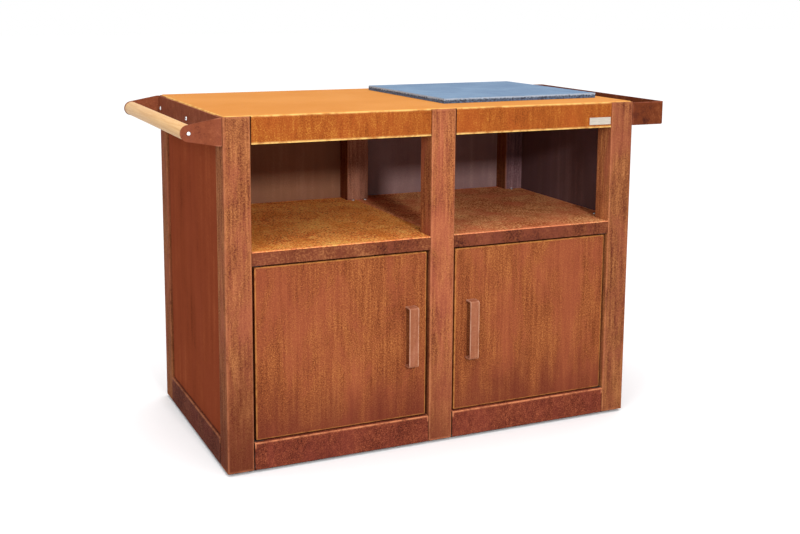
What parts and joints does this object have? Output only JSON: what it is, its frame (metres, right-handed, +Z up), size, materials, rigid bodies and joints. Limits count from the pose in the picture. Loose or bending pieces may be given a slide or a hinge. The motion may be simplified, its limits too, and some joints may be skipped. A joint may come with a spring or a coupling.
{
  "type": "outdoor kitchen cart",
  "caption": "Outdoor kitchen cart of weathering steel with open bays over hinged cupboards, a push handle, a side tray and a stone slab on the worktop.",
  "frame": {"origin": "middle of the overall footprint, on the ground that the casters stand on", "axes": "+X to the right along the front, towards the side tray; the front with the doors faces -Y; +Z up"},
  "size_m": [1.409, 0.6878, 0.9343],
  "materials": {
    "post_steel": "matt rust patina of weathering steel",
    "worktop_steel": "bright matt rust patina",
    "shelf_steel": "speckled rust patina",
    "plinth_steel": "mottled rust patina",
    "panel_steel": "smooth dark rust patina",
    "door_steel": "streaked rust patina",
    "door_handle_steel": "smooth rust patina",
    "handle_steel": "smooth dark rust patina",
    "tray_steel": "smooth dark rust patina",
    "hidden_steel": "zinc plated",
    "screw_steel": "bright stainless",
    "rod_wood": "bare, smooth",
    "slab_stone": "split slate, rough edges",
    "plate_aluminium": "matt, blank",
    "wheel_rubber": "solid tyre",
    "catch_plastic": "moulded"
  },
  "bodies": {
    "cart": {"post_front_left": "post_steel", "post_front_mid": "post_steel", "post_front_right": "post_steel", "post_rear_left": "post_steel", "post_rear_mid": "post_steel", "post_rear_right": "post_steel", "worktop": "worktop_steel", "shelf_left": "shelf_steel", "shelf_right": "shelf_steel", "cupboard_floor": "shelf_steel", "plinth_front_left": "plinth_steel", "plinth_front_right": "plinth_steel", "plinth_left": "plinth_steel", "plinth_right": "plinth_steel", "side_panel_left": "panel_steel", "side_panel_right": "panel_steel", "back_panel_left": "panel_steel", "back_panel_right": "panel_steel", "handle_bracket": "handle_steel", "side_tray": "tray_steel", "door_pivot_left_top": "hidden_steel", "door_pivot_left_bottom": "hidden_steel", "magnet_catch_left": "catch_plastic", "shelf_screw_left_rear_inner": "screw_steel", "shelf_screw_left_rear_outer": "screw_steel", "shelf_screw_left_front": "screw_steel", "door_pivot_right_top": "hidden_steel", "door_pivot_right_bottom": "hidden_steel", "magnet_catch_right": "catch_plastic", "shelf_screw_right_rear_inner": "screw_steel", "shelf_screw_right_rear_outer": "screw_steel", "shelf_screw_right_front": "screw_steel", "rod_screw_front": "screw_steel", "tray_bolt_front": "screw_steel", "rod_screw_rear": "screw_steel", "tray_bolt_rear": "screw_steel", "handle_bolt_front": "screw_steel", "handle_bolt_mid": "screw_steel", "handle_bolt_rear": "screw_steel", "handle_rod": "rod_wood", "stone_slab": "slab_stone", "blank_plate": "plate_aluminium", "caster_plate_front_left": "hidden_steel", "caster_plate_front_right": "hidden_steel", "caster_plate_rear_left": "hidden_steel", "caster_plate_rear_right": "hidden_steel"},
    "door_left": {"door_left": "door_steel", "door_handle_left": "door_handle_steel"},
    "door_right": {"door_right": "door_steel", "door_handle_right": "door_handle_steel"},
    "fork_front_left": {"caster_fork_front_left": "hidden_steel"},
    "wheel_front_left": {"caster_wheel_front_left": "wheel_rubber"},
    "fork_front_right": {"caster_fork_front_right": "hidden_steel"},
    "wheel_front_right": {"caster_wheel_front_right": "wheel_rubber"},
    "fork_rear_left": {"caster_fork_rear_left": "hidden_steel"},
    "wheel_rear_left": {"caster_wheel_rear_left": "wheel_rubber"},
    "fork_rear_right": {"caster_fork_rear_right": "hidden_steel"},
    "wheel_rear_right": {"caster_wheel_rear_right": "wheel_rubber"}
  },
  "joints": [
    {"name": "door_left_hinge", "type": "hinge", "parent": "cart", "child": "door_left", "pos_m": [-0.5105, -0.3059, 0.31], "axis": [0, 0, -1], "range_deg": [0, 105]},
    {"name": "door_right_hinge", "type": "hinge", "parent": "cart", "child": "door_right", "pos_m": [0.5095, -0.3059, 0.31], "axis": [0, 0, 1], "range_deg": [0, 105]},
    {"name": "caster_front_left_swivel", "type": "hinge", "parent": "cart", "child": "fork_front_left", "pos_m": [-0.4705, -0.1939, 0.0765], "axis": [0, 0, 1], "continuous": true},
    {"name": "caster_front_left_wheel", "type": "hinge", "parent": "fork_front_left", "child": "wheel_front_left", "pos_m": [-0.4485, -0.1939, 0.03], "axis": [0, 1, 0], "continuous": true},
    {"name": "caster_front_right_swivel", "type": "hinge", "parent": "cart", "child": "fork_front_right", "pos_m": [0.4695, -0.1939, 0.0765], "axis": [0, 0, 1], "continuous": true},
    {"name": "caster_front_right_wheel", "type": "hinge", "parent": "fork_front_right", "child": "wheel_front_right", "pos_m": [0.4915, -0.1939, 0.03], "axis": [0, 1, 0], "continuous": true},
    {"name": "caster_rear_left_swivel", "type": "hinge", "parent": "cart", "child": "fork_rear_left", "pos_m": [-0.4705, 0.2101, 0.0765], "axis": [0, 0, 1], "continuous": true},
    {"name": "caster_rear_left_wheel", "type": "hinge", "parent": "fork_rear_left", "child": "wheel_rear_left", "pos_m": [-0.4485, 0.2101, 0.03], "axis": [0, 1, 0], "continuous": true},
    {"name": "caster_rear_right_swivel", "type": "hinge", "parent": "cart", "child": "fork_rear_right", "pos_m": [0.4695, 0.2101, 0.0765], "axis": [0, 0, 1], "continuous": true},
    {"name": "caster_rear_right_wheel", "type": "hinge", "parent": "fork_rear_right", "child": "wheel_rear_right", "pos_m": [0.4915, 0.2101, 0.03], "axis": [0, 1, 0], "continuous": true}
  ]
}
